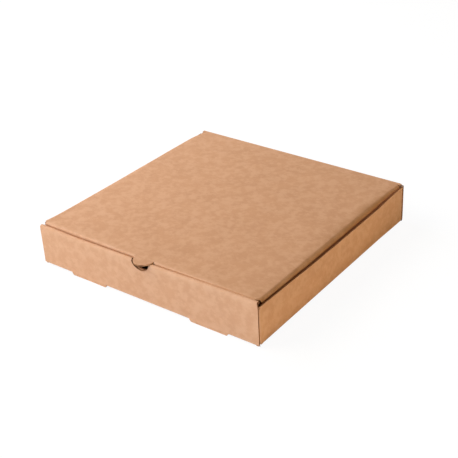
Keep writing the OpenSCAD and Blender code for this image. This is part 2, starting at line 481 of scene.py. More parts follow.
def rim_profiles(s):
    """Shapes of an edge from the outer face to the inner one: way in, height above the board's middle."""
    half, open_h = s.half_t, s.half_t - s.liner
    turns = [k * math.pi / RIM_STEPS for k in range(RIM_STEPS + 1)]
    return {
        "cut": [(0, half), (0, open_h), (s.groove, open_h), (s.groove, -open_h), (0, -open_h), (0, -half)],
        "plain": [(0, half - k * s.thickness / RIM_STEPS) for k in range(RIM_STEPS + 1)],
        "nose": [(-half * math.sin(turn), half * math.cos(turn)) for turn in turns],
    }


def folded_mesh(name, board, s, form, closing, settle):
    """The sheet with its thickness, its cut edges and the fluting that shows in them."""
    sheet = board.whole()
    find_rim(sheet, closing)
    place, out, blank, cells, rim, row = (
        sheet.place, sheet.out, sheet.blank, sheet.cells, sheet.rim, sheet.row)
    n, between = len(place), RIM_STEPS - 1
    faces = [list(c) for c in cells] + [[i + n for i in reversed(c)] for c in cells]
    kinds = [LINER] * len(faces)

    profiles = rim_profiles(s)
    edge = np.zeros((len(rim), between, 3))
    for v in rim:
        kind = sheet.kind[v] if sheet.kind[v] == sheet.kind[sheet.before[v]] else "cut"
        for k in range(between):
            depth, level = profiles[kind][k + 1]
            edge[row[v], k] = place[v] + sheet.inward[row[v]] * depth + out[v] * level

    def across(v):
        """The points of the rim at one place, from the outer face to the inner one."""
        return [v] + [2 * n + between * row[v] + k for k in range(between)] + [v + n]

    for a, b in sheet.after.items():
        if a not in row or b not in row:
            continue
        ring_a, ring_b = across(a), across(b)
        for k in range(RIM_STEPS):
            faces.append([ring_a[k], ring_a[k + 1], ring_b[k + 1], ring_b[k]])
            kinds.append(LINER if sheet.kind[a] == "nose" else CUT)

    waves, wave_blank, wave_part, wave_faces = fluting(sheet, s)
    start = 2 * n + between * len(rim)
    faces += [[i + start for i in f] for f in wave_faces]
    kinds += [CUT] * len(wave_faces)

    points = np.concatenate([place + out * s.half_t, place - out * s.half_t, edge.reshape(-1, 3), waves])
    blanks = np.concatenate([blank, blank, np.repeat(blank[rim], between, 0), wave_blank])
    parts = np.concatenate([sheet.part, sheet.part, np.repeat(sheet.part[rim], between), wave_part])
    outs = np.concatenate([out, out, np.repeat(out[rim], between, 0), np.zeros((len(waves), 3))])
    edge_sides = np.tile(np.repeat([1, -1], between // 2), len(rim))
    sides = np.concatenate([np.ones(n), -np.ones(n), edge_sides, np.zeros(len(waves))])
    moved = settle(s, form, points, parts, blanks, outs)
    return sheet_piece(name, moved / MM, faces, kinds, blanks, sides)


# How far, in metres, the paper of each face lies from the middle in the pattern of fibres.
FACE_SHIFT = 0.05
SHARP_EDGE = math.radians(40)


def sheet_piece(name, points, faces, kinds, blank, side):
    """A mesh object that knows where on the blank, and how near a fold, each of its points lies."""
    mesh = bpy.data.meshes.new(name)
    mesh.from_pydata(points.tolist(), [], faces)
    mesh.polygons.foreach_set("material_index", kinds)
    mesh.polygons.foreach_set("use_smooth", [True] * len(faces))
    mesh.set_sharp_from_angle(angle=SHARP_EDGE)
    on_blank = stack(blank[:, :2] / MM, side * FACE_SHIFT).astype(np.float32)
    mesh.attributes.new("blank", "FLOAT_VECTOR", "POINT").data.foreach_set("vector", on_blank.ravel())
    near_fold = blank[:, 2].astype(np.float32)
    mesh.attributes.new("fold", "FLOAT", "POINT").data.foreach_set("value", near_fold)
    mesh.validate()
    mesh.update()
    piece = bpy.data.objects.new(name, mesh)
    bpy.context.scene.collection.objects.link(piece)
    return piece


def cut_chains(sheet):
    """The cut edges as chains of point pairs, and whether each chain is a closed ring."""
    after, row = sheet.after, sheet.row
    todo = {a for a in after if sheet.kind[a] == "cut" and a in row and after[a] in row}
    reached = {after[a] for a in todo}
    starts = [a for a in todo if a not in reached]
    while todo:
        here = starts.pop() if starts else min(todo)
        chain, ring = [here], False
        while here in todo:
            todo.discard(here)
            here = after[here]
            ring = here == chain[0]
            if not ring:
                chain.append(here)
        closed = chain[:1] if ring else []
        yield list(zip(chain, chain[1:] + closed)), ring


def fluting(sheet, s):
    """The waved middle paper, as a closed ribbon along every cut edge."""
    place, out, blank, part = sheet.place, sheet.out, sheet.blank, sheet.part
    half_paper = s.flute_paper / 2
    height = s.half_t - s.liner - half_paper
    front, back = s.flute_inset, s.groove + s.flute_sink
    corners = [(front, half_paper), (front, -half_paper), (back, -half_paper), (back, half_paper)]
    sides = len(corners)
    wave_step = s.flute_pitch / WAVE_STEPS
    points, blanks, parts, faces = [], [], [], []
    for pairs, ring in cut_chains(sheet):
        rows = []
        for a, b in pairs:
            count = max(1, math.ceil(abs(blank[b, 1] - blank[a, 1]) / wave_step))
            rows += [(a, b, k / count) for k in range(count)]
        if not ring:
            rows.append((*pairs[-1], 1.0))
        a, b, t = (np.array(x) for x in zip(*rows))
        row_a, row_b = (np.array([sheet.row[v] for v in x]) for x in (a, b))
        t = t[:, None]
        p = place[a] * (1 - t) + place[b] * t
        o = out[a] * (1 - t) + out[b] * t
        o /= np.linalg.norm(o, axis=1)[:, None]
        i = sheet.inward[row_a] * (1 - t) + sheet.inward[row_b] * t
        k = blank[a] * (1 - t) + blank[b] * t
        wave = height * np.sin(2 * math.pi * k[:, 1] / s.flute_pitch)[:, None]
        base, m = sum(len(x) for x in points), len(rows)
        points.append(np.stack([p + i * d + o * (wave + h) for d, h in corners], 1).reshape(-1, 3))
        blanks.append(np.repeat(k, sides, 0))
        parts.append(np.repeat(np.where(part[a] == part[b], part[a], CHAIN), sides))
        for r in range(m if ring else m - 1):
            here, there = base + sides * r, base + sides * ((r + 1) % m)
            for c in range(sides):
                e = (c + 1) % sides
                faces.append([here + c, here + e, there + e, there + c])
        if not ring:
            faces.append([base + c for c in reversed(range(sides))])
            faces.append([base + sides * (m - 1) + c for c in range(sides)])
    return np.concatenate(points), np.concatenate(blanks), np.concatenate(parts), faces


# Share of a corner fold that keeps the full height of its wall.
FULL_FOLD = 0.4


def tray_board(s):
    """The tray's half of the blank: front roll, front wall, base and back wall, a side wall, a lip."""
    board = Board()
    chain = Section((s.front_y + s.roll_t - s.half_t, s.base_z), QUARTER, RIGHT, [
        (s.front_top - s.roll_r - s.base_z, 0),
        (math.pi * (s.roll_r - s.half_t), math.pi),
        (s.front_top - s.roll_r - s.fold_z, 0),
        (s.fold_len, QUARTER),
        (s.depth - 2 * s.fold_out, 0),
        (s.fold_len, QUARTER),
        (s.back_top - s.fold_z, 0),
    ])
    _, roll, wall, fold, base, rear, _, end = chain.marks
    base_y = s.front_y + s.fold_out
    foot = s.thickness + s.ply_gap
    slot = base + s.roll_t + s.tab_room - s.fold_out
    y_lines = grid(s.side_front, s.side_back, s.mesh_step)
    x_lines = np.append(grid(0, s.base_edge, s.mesh_step), s.lip_mid)
    lines = chain.lines(s.mesh_step)
    off_base = (lines <= base + NEAR) | (lines >= rear - NEAR)
    lines = np.concatenate([lines[off_base], y_lines - base_y + base])

    notch_z = s.front_top + s.notch_rise
    roll_z = s.front_top - s.roll_r
    over = np.linspace(roll, wall, ROLL_STEPS + 1)
    inner = np.linspace(notch_z - s.notch_r, roll_z, NOTCH_STEPS + 1)
    outer = inner[::-1]
    z = np.concatenate([inner, chain.at(over)[0][1:-1, 1], outer])
    v = np.concatenate([inner - s.base_z, over[1:-1], wall + roll_z - outer])
    half = np.sqrt(np.maximum(s.notch_r ** 2 - (z - notch_z) ** 2, 0))
    notch = list(zip(half, v))

    lip_low, lip_high = s.lip_mid - s.lip_length / 2, s.lip_mid + s.lip_length / 2
    tab_low, tab_high = s.lip_mid - s.tab_half, s.lip_mid + s.tab_half
    slot_low, slot_high = lip_low + s.lip_slant, lip_high - s.lip_slant
    middle = [
        (0, foot), (tab_low, foot), (tab_low, 0), (s.lip_mid, 0), (s.lip_mid, fold), (lip_low, fold),
        (lip_low, base), (slot_low, slot), (s.lip_mid, slot), (s.lip_mid, end), (0, end)]
    outside = [
        (s.lip_mid, 0), (tab_high, 0), (tab_high, foot), (s.inner_half, foot), (s.inner_half, roll),
        (s.half_w, roll), (s.half_w, base), (s.base_edge, base), (s.base_edge, rear), (s.half_w, rear),
        (s.half_w, end), (s.lip_mid, end), (s.lip_mid, slot), (slot_high, slot), (lip_high, base),
        (lip_high, fold), (s.lip_mid, fold)]
    board.add(middle + notch[::-1], x_lines, lines, chain.fold, CHAIN)
    board.add(outside, x_lines, lines, chain.fold, CHAIN)

    def fold_lip(u, down):
        place = stack(u, s.front_y + s.half_t, s.fold_z - down)
        return place, stack(0 * u, -1, 0), stack(u, fold + down, 0)

    lip = [(lip_low, 0), (lip_low, s.fold_out), (slot_low, s.fold_z), (slot_high, s.fold_z),
           (lip_high, s.fold_out), (lip_high, 0)]
    board.add(lip, x_lines, [], fold_lip, LIP)

    side = Section((s.base_edge, s.base_z + s.half_t), 0, RIGHT, [
        (s.fold_len, QUARTER), (s.side_top - s.fold_z, 0)])
    corner = Section((s.half_w - s.half_t, s.side_back), QUARTER, RIGHT, [
        (s.fold_len, QUARTER), (s.corner_flap, 0)])

    def fold_side(y, up):
        """Folds the side wall up and its two corner flaps in, the front one as a mirrored rear one."""
        place, out = side.at(up)
        mid = s.side_front + s.side_back
        to_front = y < s.side_front
        mirrored = np.where(to_front, mid - y, y)
        beyond = mirrored > s.side_back
        turn, facing = corner.at(mirrored - s.side_back)
        x = np.where(beyond, turn[:, 0], place[:, 0])
        at_y = np.where(beyond, np.where(to_front, mid - turn[:, 1], turn[:, 1]), y)
        face_x = np.where(beyond, facing[:, 0], out[:, 0])
        face_y = np.where(beyond, facing[:, 1], 0) * np.where(to_front, -1, 1)
        face_z = np.where(beyond, 0, out[:, 1])
        crease = np.maximum(side.crease(up), corner.crease(mirrored - s.side_back))
        blank = stack(s.base_edge + up, y - base_y + base, crease)
        return stack(x, at_y, place[:, 1]), stack(face_x, face_y, face_z), blank

    low, top = s.fold_len + s.ply_gap, side.marks[-1]
    tip = s.fold_len + s.corner_flap
    flap = [
        (s.fold_len, low), (tip, low + s.corner_slant), (tip, top - s.corner_slant),
        (s.fold_len + s.corner_relief, top - s.corner_slant), (s.fold_len * FULL_FOLD, top)]
    rear_flap = [(s.side_back + d, up) for d, up in flap]
    front_flap = [(s.side_front - d, up) for d, up in reversed(flap)]
    flap_lines = corner.lines(s.mesh_step)
    board.add(
        [(s.side_front, 0), (s.side_back, 0), (s.side_back, low)] + rear_flap
        + front_flap + [(s.side_front, low)],
        np.concatenate([y_lines, s.side_back + flap_lines, s.side_front - flap_lines]),
        np.append(side.lines(s.mesh_step), low), fold_side, SIDE)
    return board, end


# Share of the wear of a pressed fold that a soft fold shows.
SOFT_WEAR = 0.5


def lid_board(s):
    """The lid's half of the blank: hinge edge, panel and tuck flap, the tongue, a side flap."""
    board = Board()
    panel = s.lid_d - s.fold_out
    chain = Section((0, 0), math.pi, RIGHT, [
        (panel, 0), (s.fold_mid * (QUARTER + s.lean), QUARTER + s.lean), (s.flap_h, 0)])
    _, crease, flap, end = chain.marks
    fold_front = -s.lid_corner_lead - panel
    y_lines = np.append(grid(-panel, -s.hinge_clear, s.mesh_step), fold_front)
    x_lines = np.append(grid(0, s.lid_flat, s.mesh_step), s.lid_tongue_radius)
    lines = chain.lines(s.mesh_step)
    lines = np.concatenate([lines[lines >= crease - NEAR], -y_lines])
    cos_t, sin_t = math.cos(s.tilt), math.sin(s.tilt)
    turn = np.array([[1, 0, 0], [0, cos_t, sin_t], [0, -sin_t, cos_t]])

    def lay(place, out, blank):
        """From the lid's own level, hinge line at 0, to the box."""
        return place @ turn.T + [0, s.hinge_y, s.hinge_z], out @ turn.T, blank

    def fold_chain(u, v):
        return lay(*chain.fold(u, v))

    def fold_tongue(u, ahead):
        return lay(stack(u, -panel - ahead, 0), stack(0 * u, 0, 1), stack(u, crease + ahead, 0))

    behind = s.hinge_clear - s.lid_hinge_slant
    hinge = [(0, 0), (s.hinge_half, 0), (s.hinge_half, s.lid_hinge_end),
             (s.hinge_half - s.lid_hinge_slant, behind), (s.lid_flat, behind)]
    foot = s.lid_flat - s.lid_flap_slant - s.lid_flap_round
    low = flap + s.flap_h - s.lid_flap_round
    rounded = arc_points((foot, low), s.lid_flap_round, 0, QUARTER, FLAP_ROUND_STEPS)
    hole = arc_points((0, flap), s.cut_r, QUARTER, 0, HOLE_STEPS)
    slit = [(s.cut_r, crease), (s.lid_tongue_radius, crease), (0, crease)]
    board.add(
        hinge + [(s.lid_flat, flap + s.lid_flap_start)] + rounded + [(0, end)] + hole + slit,
        x_lines, lines, fold_chain, CHAIN)
    half_moon = arc_points((0, s.fold_out), s.lid_tongue_radius, 0, QUARTER, TONGUE_STEPS)
    tongue_lines = grid(0, s.fold_out + s.lid_tongue_radius, s.lid_tongue_step)[1:-1]
    board.add(
        [(0, 0), (s.lid_tongue_radius, 0)] + half_moon,
        x_lines, np.append(tongue_lines, s.fold_out), fold_tongue, LIP)

    side = Section((s.lid_flat, 0), 0, LEFT, [(s.soft_len, -QUARTER), (s.flap_h, 0)])

    def fold_side(y, down):
        place, out = side.at(down)
        blank = stack(s.lid_flat + down, -y, side.crease(down) * SOFT_WEAR)
        return lay(stack(place[:, 0], y, place[:, 1]), stack(out[:, 0], 0, out[:, 1]), blank)

    top, bottom = s.soft_len + s.lid_flap_start, side.marks[-1]
    front, back = s.lid_corner_gap - panel, -s.hinge_clear
    board.add(
        [(fold_front, 0), (back, 0), (back, top), (back - s.lid_flap_slant, bottom),
         (front + s.lid_flap_slant, bottom), (front, top)],
        y_lines, side.lines(s.mesh_step), fold_side, SIDE)
    return board, flap


# Soft waves in the panels: share of the height, lengths across and along the blank, start.
RIPPLES = ((1.0, 13, 31, 0.4), (0.8, 29, -17, 1.9), (0.7, 41, 11, 4.1), (0.5, 7.5, -9, 2.6))
# Where the lid lies in those waves, so that it doesn't repeat the tray.
LID_RIPPLE = 57


def ripple(blank, height):
    """Soft waves over the blank, always the same."""
    u, v = blank[:, 0], blank[:, 1]
    return height * sum(
        share * np.sin(u / across + v / along + start) for share, across, along, start in RIPPLES)


# Where each unevenness of the tray starts and where it is full, in millimetres.
# Behind the front face of the box:
FRONT_WALL, FRONT_PLY = (30, 6), (4.5, 1.5)
# To the right of the middle:
SAG_LEFT, SAG_RIGHT = (-150, -90), (130, -20)
NOTCH_EDGE, PAST_NOTCH = (0, 8), (26, 13)
BACK_CORNER = (92, 152)
# From the middle to either side, and inwards from the side of the box:
AROUND_NOTCH, SIDE_WALL = (40.8, 16.8), (8, 2)
# Above the base, below the front roll and below the top of the side walls:
PINCH_FOOT, PINCH_TOP, PRESS_TOP = (8, 28), (0, 4), (0, 3)
# To the back of the middle, and how far from its own middle the dip reaches:
RISE_FRONT, RISE_BACK = (-30, -150), (85, 150)
DIP_MIDDLE, DIP = 35, (110, 0)
# In front of the back face, and beyond the end of the hinge:
BACK_WALL, PAST_HINGE = (6, 3), (-1, 3)
# Powers: one keeps a change to the top of a wall, the others ease the foot's shift to the corners.
TOP_POWER, LEFT_FOOT_POWER, RIGHT_FOOT_POWER = 4, 2, 4


def settle_tray(s, form, p, part, blank, out):
    """Moves the points of the folded tray to where the real board lies."""
    x, y, z = p.T
    moved = p.copy()
    up = np.clip((z - s.base_z) / s.front_height, 0, 1)
    higher = np.clip((z - s.base_z) / (s.side_top - s.base_z), 0, 1)
    across, along = x / s.half_w, (y - (s.front_y + s.back_y) / 2) / (s.depth / 2)
    behind = y - s.front_y

    # The front wall slopes, sags and bows, its foot and notch are shifted, its right end is crushed.
    at_front = ramp(behind, *FRONT_WALL) * (part != SIDE)
    around_notch = ramp(np.abs(x), *AROUND_NOTCH)
    moved[:, 2] += at_front * up * form.front_slope * (x - form.front_level)
    sagging = ramp(x, *SAG_LEFT) * ramp(x, *SAG_RIGHT) * up ** TOP_POWER
    moved[:, 2] -= at_front * form.front_sag * sagging
    moved[:, 1] -= at_front * form.wall_bow * (1 - across ** 2) * np.sin(math.pi * up)
    inner_ply = (part == CHAIN) * smooth((behind - s.roll_r) / s.half_t)
    held = ramp(z - s.base_z, *PINCH_FOOT) * ramp(s.front_top - s.roll_r - z, *PINCH_TOP)
    moved[:, 1] -= at_front * form.pinch * inner_ply * held * around_notch
    foot = 1 - np.abs(across) ** np.where(x > 0, RIGHT_FOOT_POWER, LEFT_FOOT_POWER)
    moved[:, 0] += at_front * form.lip_shift * (1 - up) * foot
    moved[:, 0] -= at_front * form.notch_shift * up * around_notch
    right_of_notch = ramp(x, *NOTCH_EDGE) * ramp(x, *PAST_NOTCH) * ramp(behind, *FRONT_PLY)
    moved[:, 0] -= at_front * form.notch_close * up * right_of_notch
    at_end = smooth((x - s.half_w) / form.crush_reach + 1)
    at_top = smooth((z - s.front_top) / form.crush_reach + 1)
    moved[:, 0] -= at_front * form.crush * at_end * at_top

    # The side walls bow out, and their tops rise, dip or sag; their front corners are pressed sharp.
    bow = np.clip(1 - along ** 2, 0, 1) * ramp(s.half_w - np.abs(x), *SIDE_WALL) * up
    moved[:, 0] += np.sign(x) * form.wall_bow * bow
    rise = form.front_rise * ramp(y, *RISE_FRONT) + form.back_rise * ramp(y, *RISE_BACK)
    rise -= form.right_dip * ramp(np.abs(y - DIP_MIDDLE), *DIP)
    on_right = (part == SIDE) & (x > 0)
    on_left = (part == SIDE) & (x < 0) & (y > s.side_front)
    moved[:, 2] += (on_right * rise - on_left * form.left_sag) * higher
    pressed = (part == SIDE) * (y < 0) * diagonal(out[:, 0], out[:, 1]) * ramp(s.side_top - z, *PRESS_TOP)
    moved += out * (form.corner_press * pressed)[:, None]

    # The back hangs at one end of its foot, and is pressed down at the other end of its top.
    moved[:, 2] -= form.corner_sag * (1 - up) * ramp(x, *BACK_CORNER) * ramp(y, *BACK_CORNER)
    at_back = (part == CHAIN) * ramp(s.back_y - y, *BACK_WALL)
    moved[:, 2] -= at_back * form.back_sag * higher ** TOP_POWER * ramp(-x - s.hinge_half, *PAST_HINGE)

    moved += out * ripple(blank, form.ripple)[:, None] * np.clip(1 - blank[:, 2:], 0, 1)
    return moved


# Where each unevenness of the lid starts and where it is full, first in millimetres.
# To the right of the middle:
LIFT_LEFT, RAISED_LEFT, RAISED_RIGHT = (40, -150), (20, 100), (146, 136)
# From the middle to either side, and inwards from the side folds:
SHIFT_BESIDE, FOLD_BESIDE = (20, 80), (15, 0)
# Above the top of the side walls:
FOLD_LEVEL = (-2, 1)
# As a share of the way from the hinge to the front fold:
DROP_AHEAD, SHIFT_AHEAD, RIPPLE_AHEAD, AT_HINGE = (0, 1 / 12), (0, 1 / 5), (0, 1 / 14), (1 / 9, 0)
LEFT_FOLD_AHEAD, RIGHT_FOLD_AHEAD = (0, 1 / 10), (0, 1 / 40)
RAISED_AHEAD, BULGE_AHEAD, PRESS_AHEAD = (0.9, 0.99), (0.3, 0.9), (0.65, 0.95)
# The tongue reaches a little beyond that way, and narrows over its first millimetres.
MOST_AHEAD, TONGUE_ROOT = 1.05, 4
TONGUE_LEFT, TONGUE_RIGHT = 0.08, 0.03
# Curve of the edges' drop from the hinge to the front, and powers that keep a change to a corner.
DROP_CURVE = (-1.8, 1.5, 0.55)
LIFT_POWER, CORNER_POWER = 1.5, 24
# Shares: the hinge's shift at its right end, and how far the right fold is drawn in at the back.
RIGHT_END, DRAWN_IN = 0.6, 0.4


def settle_lid(s, form, p, part, blank, out):
    """Moves the points of the folded lid to where the real board lies."""
    x, y, z = p.T
    moved = p.copy()
    beside, to_right = np.abs(x), x > 0
    ahead = np.clip((s.hinge_y - y) / s.lid_d, 0, MOST_AHEAD)

    # The panel is lifted at the front, a little domed, and falls off towards its sides.
    moved[:, 2] += form.lid_lift * ramp(x, *LIFT_LEFT) * ahead ** LIFT_POWER
    dome = np.clip(1 - (x / s.lid_half) ** 2, 0, 1) * np.sin(math.pi * np.clip(ahead, 0, 1))
    moved[:, 2] += form.lid_crown * dome
    raised = ramp(x, *RAISED_LEFT) * ramp(x, *RAISED_RIGHT) * ramp(ahead, *RAISED_AHEAD)
    moved[:, 2] += form.right_lift * raised
    moved[:, 1] -= form.right_push * raised
    drop = np.where(to_right, form.lid_drop_right, form.lid_drop_left) * np.polyval(DROP_CURVE, ahead)
    edge = np.clip((beside - s.lid_half) / form.edge_reach + 1, 0, 1)
    moved[:, 2] -= drop * edge ** 2 * ramp(ahead, *DROP_AHEAD)
    moved[:, 0] -= form.lid_shift * ramp(ahead, *SHIFT_AHEAD) * ramp(beside, *SHIFT_BESIDE)
    ends = np.where(to_right, RIGHT_END, 1) * beside / s.hinge_half
    moved[:, 0] += form.hinge_shift * ramp(ahead, *AT_HINGE) * ends

    # The side folds stand out or are drawn in, are sharper at the front, and their flaps lean in.
    at_fold = ramp(s.lid_flat - beside, *FOLD_BESIDE) * ramp(z - s.side_top, *FOLD_LEVEL)
    at_fold *= np.where(to_right, ramp(ahead, *RIGHT_FOLD_AHEAD), ramp(ahead, *LEFT_FOLD_AHEAD))
    out_left = form.left_bulge + form.corner_bulge * ahead ** CORNER_POWER
    out_right = form.right_bulge * ((1 + DRAWN_IN) * ramp(ahead, *BULGE_AHEAD) - DRAWN_IN)
    moved[:, 0] += at_fold * np.where(to_right, out_right, -out_left)
    pressed = (part == SIDE) * diagonal(out[:, 0], out[:, 2]) * ramp(ahead, *PRESS_AHEAD)
    moved += out * (form.fold_press * pressed)[:, None]
    down = np.clip((np.abs(blank[:, 0]) - s.lid_flat - s.soft_len) / s.flap_h, 0, 1)
    moved[:, 0] -= np.sign(x) * form.flap_pull * down * (part == SIDE)

    tongue = (part == LIP) * np.clip((np.abs(blank[:, 1]) - s.lid_d) / TONGUE_ROOT, 0, 1)
    moved[:, 0] -= tongue * x * np.where(to_right, TONGUE_RIGHT, TONGUE_LEFT)

    calm = np.clip(1 - blank[:, 2:], 0, 1) * ramp(ahead, *RIPPLE_AHEAD)[:, None]
    moved += out * ripple(blank + LID_RIPPLE, form.ripple)[:, None] * calm
    return moved


def crease_ring(s):
    """The sleeve of the hinge fold seen from its end.

    Each point has its place, outward direction, nearness to the fold and way from it.
    """
    half, reach, inner = s.half_t, s.lid_crease_reach, s.half_t + s.lid_crease_round
    cos_t, sin_t = math.cos(s.tilt), math.sin(s.tilt)
    steps = np.linspace(0, 1, CREASE_STEPS + 1)
    ring = [(half, -reach * (1 - k), 1, 0, k, reach * (k - 1)) for k in steps]
    for turn in np.linspace(0, QUARTER - s.tilt, CREASE_TURN_STEPS + 1)[1:-1]:
        y, z = math.cos(turn), math.sin(turn)
        ring.append((half * y, half * z, y, z, 1, 0))
    for k in steps:
        way = reach * k
        ring.append((half * sin_t - way * cos_t, half * cos_t + way * sin_t, sin_t, cos_t, 1 - k, way))
    for k in steps:
        way = reach + (inner - reach) * k
        ring.append((-half * sin_t - way * cos_t, -half * cos_t + way * sin_t, -sin_t, -cos_t, k, way))
    for turn in np.linspace(QUARTER, 0, CREASE_INNER_STEPS + 1)[1:-1]:
        y, z = math.cos(turn), math.sin(turn)
        ring.append((s.lid_crease_round * y - inner, s.lid_crease_round * z - inner, -y, -z, 1, 0))
    for k in steps:
        way = -inner + (inner - reach) * k
        ring.append((-half, way, -1, 0, 1 - k, way))
    return np.array(ring)


def crease_sleeve(s):
    """The stretched paper around the hinge fold: a closed sleeve along the hinge."""
    half = s.hinge_half - s.lid_crease_inset
    columns, ring = grid(-half, half, s.mesh_step), crease_ring(s)
    m, n = len(ring), len(columns)
    y, z, face_y, face_z, near, way = np.tile(ring, (n, 1)).T
    x = np.repeat(columns, m)
    lift = s.lid_crease_paper * (2 * smooth(2 * near) - 1)
    points = stack(x, s.hinge_y + y + face_y * lift, s.hinge_z + z + face_z * lift)
    faces = [[c * m + r, c * m + (r + 1) % m, c * m + m + (r + 1) % m, c * m + m + r]
             for c in range(n - 1) for r in range(m)]
    faces += [list(range(m)), list(range(m * (n - 1), m * n))]
    side = np.where(face_y + face_z > 0, 1, -1)
    kinds = [LINER] * len(faces)
    piece = sheet_piece("hinge_crease", points / MM, faces, kinds, stack(x, way, near), side)
    bm = bmesh.new()
    bm.from_mesh(piece.data)
    bmesh.ops.recalc_face_normals(bm, faces=bm.faces[:])
    bm.to_mesh(piece.data)
    bm.free()
    return piece


def feed(tree, node, inputs):
    """Links or sets the inputs of a node, by name or number."""
    for name, value in inputs.items():
        if isinstance(value, bpy.types.NodeSocket):
            tree.links.new(value, node.inputs[name])
        else:
            node.inputs[name].default_value = value


def tree_node(tree, kind, inputs, **settings):
    """A node with its inputs and settings."""
    made = tree.nodes.new(kind)
    for name, value in settings.items():
        setattr(made, name, value)
    feed(tree, made, inputs)
    return made


def group_of(name, inputs, outputs):
    """A shader node group with its named sockets."""
    tree = bpy.data.node_groups.new(name, "ShaderNodeTree")
    for way, sockets in (("INPUT", inputs), ("OUTPUT", outputs)):
        for label, kind in sockets.items():
            tree.interface.new_socket(label, in_out=way, socket_type=kind)
    return tree, tree.nodes.new("NodeGroupInput"), tree.nodes.new("NodeGroupOutput")


# Numbers of the colour sockets of a mix node.
MIX_FACTOR, MIX_A, MIX_B, MIX_RESULT = 0, 6, 7, 2


def mixed(tree, factor, a, b):
    """A mix of two colours."""
    inputs = {MIX_FACTOR: factor, MIX_A: a, MIX_B: b}
    return tree_node(tree, "ShaderNodeMix", inputs, data_type="RGBA").outputs[MIX_RESULT]


def sums(tree, operation, *values):
    """Arithmetic with sockets or plain values."""
    return tree_node(tree, "ShaderNodeMath", dict(enumerate(values)), operation=operation).outputs[0]


def ranged(tree, value, low, high, to_low=0.0, to_high=1.0):
    """A value moved from one range to another, with soft ends."""
    inputs = {"Value": value, "From Min": low, "From Max": high, "To Min": to_low, "To Max": to_high}
    return tree_node(tree, "ShaderNodeMapRange", inputs, interpolation_type="SMOOTHSTEP").outputs["Result"]


NOISE_ROUGHNESS = 0.55


def stretched_noise(tree, vector, stretch, turn, scale, detail):
    """Noise drawn out along one direction of the sheet."""
    drawn_out = {"Vector": vector, "Rotation": (0, 0, turn), "Scale": stretch}
    place = tree_node(tree, "ShaderNodeMapping", drawn_out).outputs["Vector"]
    cloudy = {"Vector": place, "Scale": scale, "Detail": detail, "Roughness": NOISE_ROUGHNESS}
    return tree_node(tree, "ShaderNodeTexNoise", cloudy).outputs["Fac"]


def attribute(tree, name, output):
    """What the points of a piece know about the sheet."""
    node = tree.nodes.new("ShaderNodeAttribute")
    node.attribute_name = name
    return node.outputs[output]


# Patterns in the paper: stretch along and across the blank, turn, scale, detail.
PATTERNS = {
    "clouds": ((1, 1, 1), 0, 34, 3),
    "flecks": ((0.8, 1.1, 1), 0.5, 250, 3),
    "mottle": ((1, 0.8, 1), 0.9, 105, 2),
    "fibres_a": ((0.12, 1, 1), 0.5, 2600, 2),
    "fibres_b": ((0.12, 1, 1), -0.7, 2900, 2),
    "grain": ((1, 1, 1), 0, 5200, 2),
    "specks": ((0.6, 1, 1), 0.34, 900, 1),
}
WORN_PATCHES = ((1, 1, 1), 0, 160, 3)
# From which value of its pattern each of them starts to show, and from which it shows fully.
CLOUDS, FLECKS, GRAIN, SPECKS = (0.35, 0.68), (0.40, 0.62), (0.52, 0.8), (0.72, 0.79)
FIBRES_A, FIBRES_B = (0.56, 0.72), (0.58, 0.74)
GLOSS, WORN = (0.35, 0.7), (0.35, 0.65)
# How strongly each of them shows in the colour, and the fibres and grain in the relief.
CLOUD_SHARE, FLECK_SHARE, FIBRE_SHARE, GRAIN_SHARE, SPECK_SHARE = 0.125, 0.57, 0.3, 0.3, 0.45
MOTTLE_PART, FLECK_PART = 0.55, 0.45
FIBRE_RELIEF, GRAIN_RELIEF = 0.4, 0.6
# Roughness between and on the flecks, and the least wear along a fold.
DULL, SMOOTH_FLECK, LEAST_WORN = 0.74, 0.62, 0.45


def fibre_group():
    """Brown paper: cloudy sheet, pale flecks, crossing fibres and a few dark specks."""
    tree, given, made = group_of(
        "Kraft fibres",
        {"Paper": "NodeSocketColor", "Pale": "NodeSocketColor", "Dark": "NodeSocketColor"},
        {"Colour": "NodeSocketColor", "Height": "NodeSocketFloat", "Roughness": "NodeSocketFloat"})
    paper, pale, dark = (given.outputs[name] for name in ("Paper", "Pale", "Dark"))
    sheet = attribute(tree, "blank", "Vector")
    seen = {name: stretched_noise(tree, sheet, *pattern) for name, pattern in PATTERNS.items()}
    patches = sums(tree, "MULTIPLY", seen["flecks"], FLECK_PART)
    patches = sums(tree, "MULTIPLY_ADD", seen["mottle"], MOTTLE_PART, patches)
    crossing = ranged(tree, seen["fibres_b"], *FIBRES_B)
    fibres = sums(tree, "MAXIMUM", ranged(tree, seen["fibres_a"], *FIBRES_A), crossing)
    tone = mixed(tree, ranged(tree, seen["clouds"], *CLOUDS, 0, CLOUD_SHARE), paper, dark)
    tone = mixed(tree, ranged(tree, patches, *FLECKS, 0, FLECK_SHARE), tone, pale)
    tone = mixed(tree, sums(tree, "MULTIPLY", fibres, FIBRE_SHARE), tone, pale)
    tone = mixed(tree, ranged(tree, seen["grain"], *GRAIN, 0, GRAIN_SHARE), tone, dark)
    tone = mixed(tree, ranged(tree, seen["specks"], *SPECKS, 0, SPECK_SHARE), tone, dark)
    grain = sums(tree, "MULTIPLY", seen["grain"], GRAIN_RELIEF)
    feed(tree, made, {
        "Colour": tone,
        "Height": sums(tree, "MULTIPLY_ADD", fibres, FIBRE_RELIEF, grain),
        "Roughness": ranged(tree, seen["flecks"], *GLOSS, DULL, SMOOTH_FLECK),
    })
    return tree


